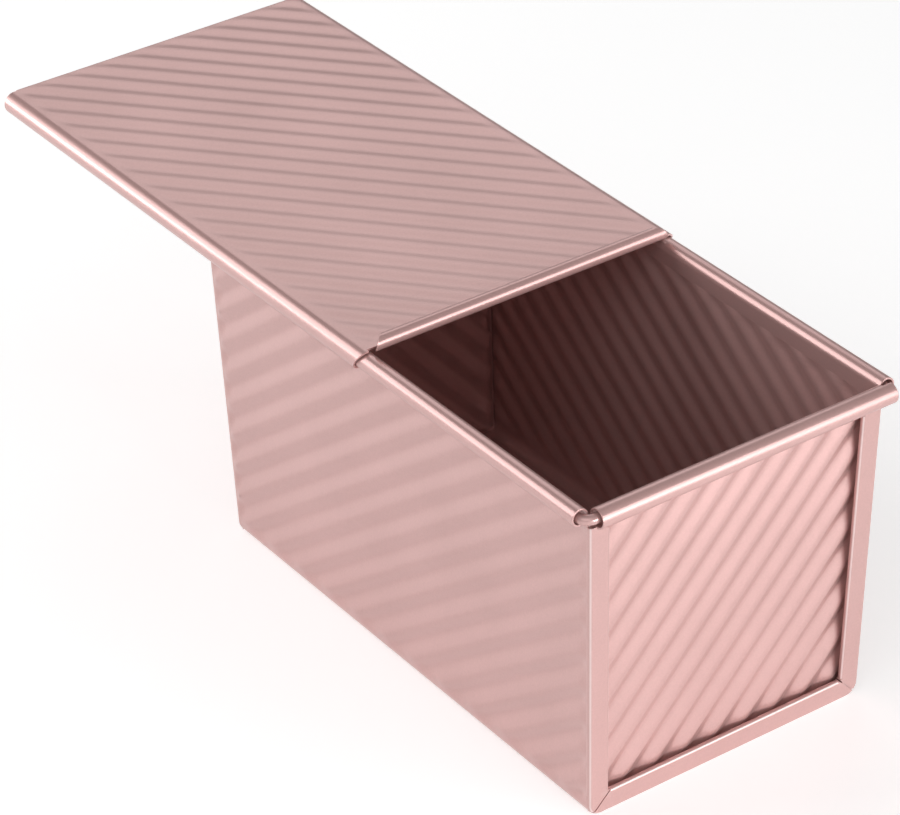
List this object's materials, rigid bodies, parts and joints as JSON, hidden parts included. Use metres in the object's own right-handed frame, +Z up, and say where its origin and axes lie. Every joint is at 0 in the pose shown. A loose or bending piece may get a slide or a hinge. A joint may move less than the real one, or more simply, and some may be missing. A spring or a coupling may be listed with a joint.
{
  "type": "pullman loaf pan",
  "caption": "Rectangular bread tin with tapered, diagonally ribbed sheet walls, wired rims, lock-seamed ends and a flat ribbed lid whose side channels slide along the long rims.",
  "frame": {"origin": "middle of the base, on the surface that the pan stands on", "axes": "+Z up, +X along the pan's length towards the end that the slid-back lid leaves open, so the lid opens along -X"},
  "size_m": [0.3182, 0.1196, 0.1181],
  "materials": {
    "coated_sheet": "satin metallic rose-gold coating",
    "coated_wire": "satin metallic rose-gold coating"
  },
  "bodies": {
    "pan": {"body_wrap": "coated_sheet", "front_end_panel": "coated_sheet", "rear_end_panel": "coated_sheet", "rim_wire": "coated_wire"},
    "lid": {"lid_sheet": "coated_sheet"}
  },
  "joints": [
    {"name": "lid_slide", "type": "slide", "parent": "pan", "child": "lid", "axis": [-1, 0, 0], "range_m": [-0.1117, 0.105]}
  ]
}
